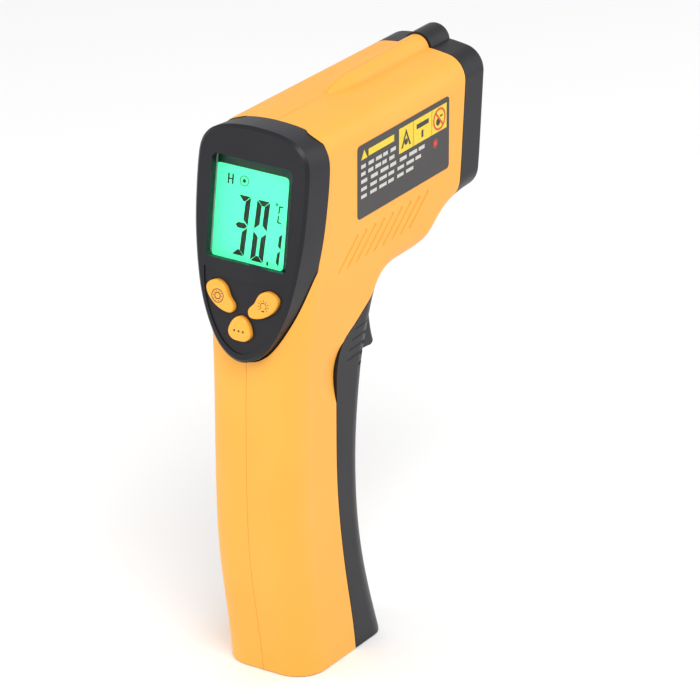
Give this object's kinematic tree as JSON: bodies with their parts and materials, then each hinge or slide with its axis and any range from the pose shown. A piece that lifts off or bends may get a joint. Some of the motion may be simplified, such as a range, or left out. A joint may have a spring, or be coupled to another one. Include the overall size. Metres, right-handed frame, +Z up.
{
  "type": "infrared thermometer",
  "caption": "Hand-held pistol-grip infrared thermometer with lit display, trigger and battery door.",
  "frame": {"origin": "centre of the flat base of the handle", "axes": "+X forward out of the lens, +Y to the user's left, +Z up"},
  "size_m": [0.1022, 0.0372, 0.167],
  "materials": {
    "yellow_plastic": "matte",
    "black_plastic": "matte",
    "orange_key": "satin",
    "clear_window": "gloss",
    "display_green": "gloss",
    "white_plastic": "satin",
    "circuit_board": "satin",
    "rubber": "matte",
    "steel": "satin",
    "brass": "satin",
    "label": "satin",
    "cell_wrap": "gloss",
    "red_insulation": "satin",
    "black_insulation": "satin"
  },
  "bodies": {
    "case": {"left_shell": "yellow_plastic", "right_shell": "yellow_plastic", "rear_bezel": "black_plastic", "nose_cap": "black_plastic", "side_label": "label", "main_board": "circuit_board", "button_switches": "black_plastic", "board_screws": "steel", "case_screws": "steel", "battery_tray": "black_plastic", "battery_left": "cell_wrap", "battery_right": "cell_wrap", "contact_springs": "steel", "contact_plates": "steel", "lead_red": "red_insulation", "lead_black": "black_insulation", "trigger_spring": "steel", "micro_switch": "black_plastic", "optics_funnel": "black_plastic", "fresnel_lens": "white_plastic", "heat_sensor": "steel", "laser_module": "brass", "laser_lens": "clear_window", "trigger_pin": "steel", "display_window": "clear_window", "display_glass": "display_green", "light_guide": "white_plastic", "display_carrier": "white_plastic", "display_connector": "rubber", "sensor_board": "circuit_board", "trigger_board": "circuit_board"},
    "trigger_lever": {"trigger": "black_plastic"},
    "door": {"battery_door": "black_plastic", "door_hinge_pin": "steel"},
    "light_key": {"light_button": "orange_key", "light_plunger": "black_plastic"},
    "laser_key": {"laser_button": "orange_key", "laser_plunger": "black_plastic"},
    "mode_key": {"mode_button": "orange_key", "mode_plunger": "black_plastic"}
  },
  "joints": [
    {"name": "trigger_pull", "type": "hinge", "parent": "case", "child": "trigger_lever", "pos_m": [0.0134, 0, 0.104], "axis": [0, 1, 0], "range_deg": [0, 7], "stiffness_Nm_per_rad": 0.25, "springref_deg": -8.59, "deforming": ["trigger_spring"]},
    {"name": "door_swing", "type": "hinge", "parent": "case", "child": "door", "pos_m": [0.0154, 0, 0.0044], "axis": [0, 1, 0], "range_deg": [0, 55]},
    {"name": "light_press", "type": "slide", "parent": "case", "child": "light_key", "axis": [0.991, 0, -0.134], "range_m": [0, 0.0006], "stiffness_N_per_m": 1500, "springref_m": -0.0006},
    {"name": "laser_press", "type": "slide", "parent": "case", "child": "laser_key", "axis": [0.991, 0, -0.134], "range_m": [0, 0.0006], "stiffness_N_per_m": 1500, "springref_m": -0.0006},
    {"name": "mode_press", "type": "slide", "parent": "case", "child": "mode_key", "axis": [0.991, 0, -0.134], "range_m": [0, 0.0006], "stiffness_N_per_m": 1500, "springref_m": -0.0006}
  ]
}
